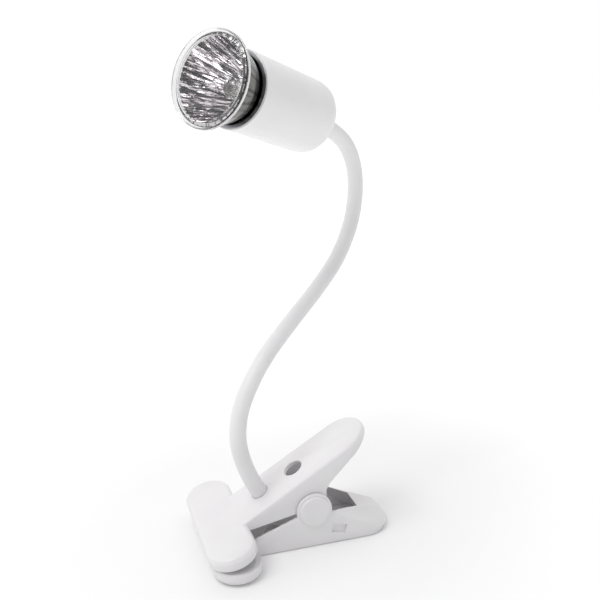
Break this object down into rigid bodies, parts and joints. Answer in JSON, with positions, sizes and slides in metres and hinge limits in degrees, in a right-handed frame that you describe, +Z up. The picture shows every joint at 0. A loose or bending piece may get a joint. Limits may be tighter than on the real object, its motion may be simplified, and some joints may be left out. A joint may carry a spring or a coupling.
{
  "type": "clip on reading lamp",
  "caption": "Spring clip with two jaw bars, a bendable gooseneck and a cylindrical head holding a reflector bulb behind a clear glass rim.",
  "frame": {"origin": "on the flat underside of the lower clip half, straight below the foot of the neck", "axes": "+X along the clip from the jaws to the handles, +Y across it along the jaw bars, +Z up"},
  "size_m": [0.1299, 0.1146, 0.2907],
  "materials": {
    "white_plastic": "satin",
    "white_sleeve": "soft satin",
    "rubber": "matte",
    "steel": "zinc plated",
    "spring_steel": "polished wire",
    "liner": "satin",
    "ceramic": "unglazed",
    "contact": "bright",
    "lead_cover": "satin",
    "mirror_glass": "fluted mirror",
    "clear_glass": "clear",
    "quartz": "clear",
    "filament": "drawn wire",
    "pin_metal": "nickel plated"
  },
  "bodies": {
    "lower_clip": {"lower_arm": "white_plastic", "lower_jaw_pad": "rubber", "pivot_pin": "steel", "pivot_caps": "white_plastic", "clip_spring": "spring_steel"},
    "upper_clip": {"upper_arm": "white_plastic", "upper_jaw_pad": "rubber", "base_nipple": "steel", "base_washer": "steel", "base_locknut": "steel", "clip_leads": "lead_cover", "splice_caps": "lead_cover", "neck_sleeve_0": "white_sleeve", "neck_core_0": "steel", "neck_leads_0": "lead_cover"},
    "neck_1": {"neck_sleeve_1": "white_sleeve", "neck_core_1": "steel", "neck_leads_1": "lead_cover"},
    "neck_2": {"neck_sleeve_2": "white_sleeve", "neck_core_2": "steel", "neck_leads_2": "lead_cover"},
    "neck_3": {"neck_sleeve_3": "white_sleeve", "neck_core_3": "steel", "neck_leads_3": "lead_cover"},
    "neck_4": {"neck_sleeve_4": "white_sleeve", "neck_core_4": "steel", "neck_leads_4": "lead_cover"},
    "neck_5": {"neck_sleeve_5": "white_sleeve", "neck_core_5": "steel", "neck_leads_5": "lead_cover"},
    "neck_6": {"neck_sleeve_6": "white_sleeve", "neck_core_6": "steel", "neck_leads_6": "lead_cover"},
    "neck_7": {"neck_sleeve_7": "white_sleeve", "neck_core_7": "steel", "neck_leads_7": "lead_cover"},
    "head": {"neck_sleeve_8": "white_sleeve", "neck_core_8": "steel", "neck_leads_8": "lead_cover", "housing": "white_plastic", "heat_liner": "liner", "holder_bracket": "steel", "holder_body": "ceramic", "holder_cap": "ceramic", "holder_contacts": "contact", "holder_screws": "steel", "head_nipple": "steel", "head_washer": "steel", "head_locknut": "steel", "head_leads": "lead_cover"},
    "bulb": {"bulb_reflector": "mirror_glass", "bulb_glass": "clear_glass", "bulb_base": "ceramic", "bulb_pins": "pin_metal", "bulb_capsule": "quartz", "bulb_filament": "filament"}
  },
  "joints": [
    {"name": "clip_open", "type": "hinge", "parent": "lower_clip", "child": "upper_clip", "pos_m": [0.028, 0, 0.0227], "axis": [0, 1, 0], "range_deg": [0, 40], "stiffness_Nm_per_rad": 0.5, "springref_deg": -68.75, "deforming": ["clip_spring"]},
    {"name": "neck_bend_low", "type": "hinge", "parent": "upper_clip", "child": "neck_1", "pos_m": [-0.01223, -0.0025, 0.06068], "axis": [-0.5736, 0.8192, 0], "range_deg": [-15, 15]},
    {"name": "neck_lean_low", "type": "hinge", "parent": "neck_1", "child": "neck_2", "pos_m": [-0.00721, 0.00102, 0.09226], "axis": [0.6542, 0.4581, -0.6018], "range_deg": [-15, 15]},
    {"name": "neck_bend_low_2", "type": "hinge", "parent": "neck_2", "child": "neck_3", "pos_m": [0.01279, 0.01503, 0.11463], "axis": [-0.5736, 0.8192, 0], "range_deg": [-15, 15]},
    {"name": "neck_lean_low_2", "type": "hinge", "parent": "neck_3", "child": "neck_4", "pos_m": [0.03641, 0.03156, 0.13128], "axis": [0.3846, 0.2693, -0.8829], "range_deg": [-15, 15]},
    {"name": "neck_bend_high", "type": "hinge", "parent": "neck_4", "child": "neck_5", "pos_m": [0.05978, 0.04793, 0.14842], "axis": [-0.5736, 0.8192, 0], "range_deg": [-15, 15]},
    {"name": "neck_lean_high", "type": "hinge", "parent": "neck_5", "child": "neck_6", "pos_m": [0.07823, 0.06084, 0.17256], "axis": [0.7094, 0.4967, -0.5], "range_deg": [-15, 15]},
    {"name": "neck_bend_high_2", "type": "hinge", "parent": "neck_6", "child": "neck_7", "pos_m": [0.08334, 0.06442, 0.20466], "axis": [-0.5736, 0.8192, 0], "range_deg": [-15, 15]},
    {"name": "neck_lean_high_2", "type": "hinge", "parent": "neck_7", "child": "head", "pos_m": [0.0686, 0.0541, 0.23133], "axis": [0.4096, 0.2868, 0.866], "range_deg": [-15, 15]},
    {"name": "bulb_turn", "type": "hinge", "parent": "head", "child": "bulb", "pos_m": [0.00968, 0.01285, 0.25509], "axis": [-0.7912, -0.554, 0.2588], "range_deg": [0, 20]}
  ],
  "couplings": [
    {"joint": "neck_bend_low_2", "follows": "neck_bend_low", "ratio": 1},
    {"joint": "neck_lean_low_2", "follows": "neck_lean_low", "ratio": 1},
    {"joint": "neck_bend_high_2", "follows": "neck_bend_high", "ratio": 1},
    {"joint": "neck_lean_high_2", "follows": "neck_lean_high", "ratio": 1}
  ]
}
